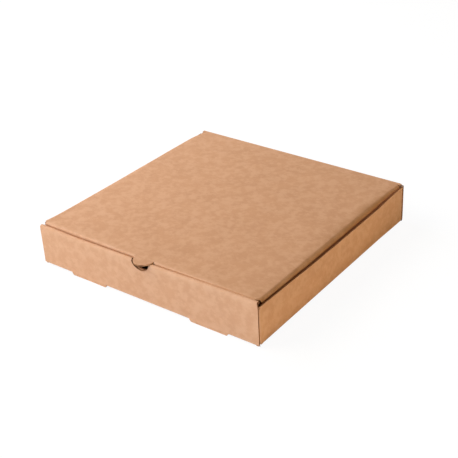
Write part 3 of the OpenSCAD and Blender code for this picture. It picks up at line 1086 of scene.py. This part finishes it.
def wear_group():
    """Where the paper is stretched over a fold: a paler line, broken up along its length."""
    tree, given, made = group_of("Fold wear", {"Amount": "NodeSocketFloat"}, {"Mask": "NodeSocketFloat"})
    fold = attribute(tree, "fold", "Fac")
    patches = stretched_noise(tree, attribute(tree, "blank", "Vector"), *WORN_PATCHES)
    patchy = ranged(tree, patches, *WORN, LEAST_WORN, 1)
    line = sums(tree, "MULTIPLY", sums(tree, "MULTIPLY", fold, fold), patchy)
    feed(tree, made, {"Mask": sums(tree, "MULTIPLY", line, given.outputs["Amount"])})
    return tree


def empty_tree(owner):
    """The node tree of a material or a world, without its first nodes."""
    owner.use_nodes = True
    owner.node_tree.nodes.clear()
    return owner.node_tree


def material_of(name):
    """A material with a shader that is still plain."""
    material = bpy.data.materials.new(name)
    tree = empty_tree(material)
    shader = tree.nodes.new("ShaderNodeBsdfPrincipled")
    tree_node(tree, "ShaderNodeOutputMaterial", {"Surface": shader.outputs[0]})
    return material, tree, shader


def used(tree, group, **inputs):
    """The outputs of a node group whose inputs are set."""
    node = tree.nodes.new("ShaderNodeGroup")
    node.node_tree = group
    feed(tree, node, {name.capitalize(): value for name, value in inputs.items()})
    return node.outputs


def rgba(value):
    """A colour with full cover."""
    return (*value, 1.0)


FIBRE_HEIGHT = 0.0002
LINER_WEAR, LINER_BUMP, LINER_SHINE = 0.55, 0.16, 0.06
EDGE_BUMP, EDGE_SHINE, EDGE_ROUGHNESS = 0.35, 0.05, 0.92


def relief(tree, height, strength):
    """The fibres as a soft relief."""
    inputs = {"Height": height, "Strength": strength, "Distance": FIBRE_HEIGHT}
    return tree_node(tree, "ShaderNodeBump", inputs).outputs[0]


def liner_material(finish, fibres, wear):
    """The paper faces of the board, a little worn at the folds."""
    liner, tree, shader = material_of("kraft_liner")
    pale = rgba(finish.pale_fibre)
    paper = used(tree, fibres, paper=rgba(finish.kraft), pale=pale, dark=rgba(finish.dark_fibre))
    worn = used(tree, wear, amount=LINER_WEAR)
    feed(tree, shader, {
        "Base Color": mixed(tree, worn["Mask"], paper["Colour"], pale),
        "Roughness": paper["Roughness"],
        "Normal": relief(tree, paper["Height"], LINER_BUMP),
        "Specular IOR Level": LINER_SHINE,
    })
    return liner


def edge_material(name, fibres, fluting_tone, edge_tone, dark_tone):
    """The cut edges of the board: rough paper without a face."""
    edge, tree, shader = material_of(name)
    paper = used(tree, fibres, paper=rgba(fluting_tone), pale=rgba(edge_tone), dark=rgba(dark_tone))
    feed(tree, shader, {
        "Base Color": paper["Colour"],
        "Roughness": EDGE_ROUGHNESS,
        "Normal": relief(tree, paper["Height"], EDGE_BUMP),
        "Specular IOR Level": EDGE_SHINE,
    })
    return edge


def dress(piece, scene, edge_name):
    """Gives a piece its paper faces and cut edges, from materials that are made once."""
    finish, made = scene.pizza_box_finish, bpy.data.materials
    if "kraft_liner" not in made:
        fibres, wear = fibre_group(), wear_group()
        liner_material(finish, fibres, wear)
        # The tray's cut edges get the darker tones, as painted shade for the notch and the wall tops. The
        # lid's cut edges keep the paper tone.
        edge_material("tray_cut_edge", fibres, finish.tray_fluting, finish.tray_edge, finish.dark_fibre)
        edge_material("lid_cut_edge", fibres, finish.lid_fluting, finish.lid_edge, finish.dark_fibre)
    piece.data.materials.append(made["kraft_liner"])
    piece.data.materials.append(made[edge_name])


class PIZZABOX_OT_tray(bpy.types.Operator):
    """Fold the tray: rolled front wall with lock tabs and lips, base, back and side walls, corner flaps"""

    bl_idname = "pizza_box.tray"
    bl_label = "Fold the tray"

    def execute(self, context):
        scene = context.scene
        s, form = box_sizes(scene), form_sizes(scene)
        board, end = tray_board(s)

        def closing(a, b):
            """How an edge is closed, from its ends on the blank: plain along the top of the back wall."""
            return "plain" if min(a[1], b[1]) > end - NEAR else "cut"

        piece = folded_mesh("tray_board", board, s, form, closing, settle_tray)
        dress(piece, scene, "tray_cut_edge")
        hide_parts("tray")
        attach(piece, "tray")
        return {"FINISHED"}


# Share of the tongue's half width from which its rim is pressed shut, on the right.
PRESSED_FROM = 0.6


class PIZZABOX_OT_lid(bpy.types.Operator):
    """Fold the lid: panel with the half-moon tongue, tuck flap and side flaps"""

    bl_idname = "pizza_box.lid"
    bl_label = "Fold the lid"

    def execute(self, context):
        scene = context.scene
        s, form = box_sizes(scene), form_sizes(scene)
        board, flap = lid_board(s)
        rim = s.lid_tongue_radius + s.lid_knife_cut / 2

        def pressed(at):
            """Whether a place on the blank is on the right end of the tongue's rim."""
            return at[0] > PRESSED_FROM * rim and math.hypot(at[0], max(at[1] - flap, 0)) < rim

        def closing(a, b):
            """How an edge is closed, from its ends on the blank: round along the hinge."""
            if max(a[1], b[1]) < NEAR:
                return "nose"
            return "plain" if pressed(a) and pressed(b) else "cut"

        piece = folded_mesh("lid_board", board, s, form, closing, settle_lid)
        dress(piece, scene, "lid_cut_edge")
        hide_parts("lid")
        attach(piece, "lid")
        return {"FINISHED"}


class PIZZABOX_OT_crease(bpy.types.Operator):
    """Lay the stretched paper over the hinge fold"""

    bl_idname = "pizza_box.crease"
    bl_label = "Lay the hinge crease"

    def execute(self, context):
        scene = context.scene
        s = box_sizes(scene)
        piece = crease_sleeve(s)
        dress(piece, scene, "tray_cut_edge")
        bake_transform(piece)
        return {"FINISHED"}


WHITE = (1, 1, 1, 1)
WORLD_LIGHT = 0.03
FLOOR_RADIUS, FLOOR_SIDES = 6, 96
# Brightness of the floor: as it lights the box, how much shadow it shows, and its own white.
FLOOR_TONE, FLOOR_SHADE, FLOOR_WHITE = 0.9, 0.1, 0.93
NEAREST_SEEN, FARTHEST_SEEN = 0.01, 50
# Studio lamps: name, place, what they face, width and height, power, tint.
LAMPS = (
    ("key_left", (-1.29, -1.08, 1.41), (0, 0, 0.03), (1.5, 1.5), 40.8, (1.0, 0.88, 0.745)),
    ("front_low", (0.19, -2.14, 0.46), (0, 0, 0.03), (1.2, 1.2), 26, (0.50, 0.69, 1.0)),
    ("left_near", (-0.98, 0.06, 0.66), (0, 0, 0.03), (0.8, 0.8), 12.4, (0.66, 0.77, 1.0)),
    ("back_low", (-0.40, 2.10, 0.40), (0, 0, 0.03), (1.2, 1.2), 9.6, (1.0, 0.90, 0.70)),
    ("right_low", (2.08, 0.19, 0.72), (0, 0, 0.03), (1.2, 1.2), 14.4, (1.0, 0.735, 0.32)),
    ("card_right", (0.218, -0.09, 0.003), (0.218, -0.09, 1), (0.12, 0.6), 0.1, (1.0, 0.82, 0.65)),
)


def seen_rays(tree):
    """1 for the rays that show the background: straight, in reflections and through clear things."""
    rays = tree.nodes.new("ShaderNodeLightPath").outputs
    either = sums(tree, "MAXIMUM", rays["Is Camera Ray"], rays["Is Glossy Ray"])
    return sums(tree, "MAXIMUM", either, rays["Is Transmission Ray"])


def by_rays(tree, lighting, seen):
    """One shader for the light on the box, another one for what is seen."""
    inputs = {0: seen_rays(tree), 1: lighting.outputs[0], 2: seen.outputs[0]}
    return tree_node(tree, "ShaderNodeMixShader", inputs).outputs[0]


def floor_material():
    """Pale floor that looks white to the camera and keeps the shadow of the box."""
    material = bpy.data.materials.new("pale_floor")
    tree = empty_tree(material)
    matt = tree_node(tree, "ShaderNodeBsdfDiffuse", {"Color": rgba([FLOOR_TONE] * 3)})
    faint = tree_node(tree, "ShaderNodeBsdfDiffuse", {"Color": rgba([FLOOR_SHADE] * 3)})
    white = tree_node(tree, "ShaderNodeEmission", {"Color": WHITE, "Strength": FLOOR_WHITE})
    added = tree_node(tree, "ShaderNodeAddShader", {0: faint.outputs[0], 1: white.outputs[0]})
    tree_node(tree, "ShaderNodeOutputMaterial", {"Surface": by_rays(tree, matt, added)})
    return material


def lay_floor(scene):
    """A plain round floor under the box."""
    bm = bmesh.new()
    bmesh.ops.create_circle(bm, cap_ends=True, segments=FLOOR_SIDES, radius=FLOOR_RADIUS)
    mesh = bpy.data.meshes.new("floor")
    bm.to_mesh(mesh)
    bm.free()
    floor = bpy.data.objects.new("floor", mesh)
    scene.collection.objects.link(floor)
    floor.data.materials.append(floor_material())


def light_room(scene):
    """A white background that gives only a little light, and the studio lamps."""
    scene.world = bpy.data.worlds.new("studio")
    tree = empty_tree(scene.world)
    seen = tree_node(tree, "ShaderNodeBackground", {"Color": WHITE, "Strength": 1.0})
    soft = tree_node(tree, "ShaderNodeBackground", {"Color": WHITE, "Strength": WORLD_LIGHT})
    tree_node(tree, "ShaderNodeOutputWorld", {"Surface": by_rays(tree, soft, seen)})
    for name, place, aim, size, power, tint in LAMPS:
        data = bpy.data.lights.new(name, "AREA")
        data.shape, data.size, data.size_y = "ELLIPSE", size[0], size[1]
        data.energy, data.color = power, tint
        lamp = bpy.data.objects.new(name, data)
        lamp.visible_camera = False
        scene.collection.objects.link(lamp)
        facing = (Vector(aim) - Vector(place)).to_track_quat("-Z", "Y")
        lamp.matrix_world = Matrix.Translation(place) @ facing.to_matrix().to_4x4()


def set_camera(scene, stage):
    """The camera at its place, turned and rolled."""
    data = bpy.data.cameras.new("camera")
    data.sensor_width, data.lens = stage.sensor, stage.lens
    data.clip_start, data.clip_end = NEAREST_SEEN, FARTHEST_SEEN
    camera = bpy.data.objects.new("camera", data)
    scene.collection.objects.link(camera)
    a, e, r = stage.azimuth, stage.elevation, stage.roll
    back = np.array([math.sin(a) * math.cos(e), -math.cos(a) * math.cos(e), math.sin(e)])
    right = np.array([math.cos(a), math.sin(a), 0])
    up = np.cross(back, right)
    across = math.cos(r) * right + math.sin(r) * up
    above = -math.sin(r) * right + math.cos(r) * up
    turn = Matrix(np.column_stack([across, above, back]).tolist()).to_4x4()
    camera.matrix_world = Matrix.Translation(stage.eye) @ turn
    scene.camera = camera


class PIZZABOX_OT_stage(bpy.types.Operator):
    """Set the floor, the light and the camera"""

    bl_idname = "pizza_box.stage"
    bl_label = "Set the stage"

    def execute(self, context):
        scene = context.scene
        lay_floor(scene)
        light_room(scene)
        set_camera(scene, scene.pizza_box_stage)
        scene.view_settings.view_transform = "Standard"
        return {"FINISHED"}


OPERATORS = (PIZZABOX_OT_stage, PIZZABOX_OT_tray, PIZZABOX_OT_lid, PIZZABOX_OT_crease)


class PIZZABOX_PT_panel(bpy.types.Panel):
    """Pizza box"""

    bl_idname = "PIZZABOX_PT_panel"
    bl_label = "Pizza box"
    bl_space_type = "VIEW_3D"
    bl_region_type = "UI"
    bl_category = "Pizza box"

    def draw(self, context):
        for operator in OPERATORS:
            self.layout.operator(operator.bl_idname)
        for name, group in GROUPS.items():
            column = self.layout.column()
            column.label(text=group.__doc__)
            for field in group.__annotations__:
                column.prop(getattr(context.scene, name), field)


CLASSES = (*GROUPS.values(), *OPERATORS, PIZZABOX_PT_panel)


def register():
    for made in CLASSES:
        bpy.utils.register_class(made)
    for name, group in GROUPS.items():
        setattr(bpy.types.Scene, name, PointerProperty(type=group))


def unregister():
    for name in GROUPS:
        delattr(bpy.types.Scene, name)
    for made in reversed(CLASSES):
        bpy.utils.unregister_class(made)


def main():
    register()
    bpy.ops.pizza_box.stage()
    bpy.ops.pizza_box.tray()
    bpy.ops.pizza_box.lid()
    bpy.ops.pizza_box.crease()
    bpy.context.view_layer.update()


if __name__ == "__main__":
    main()
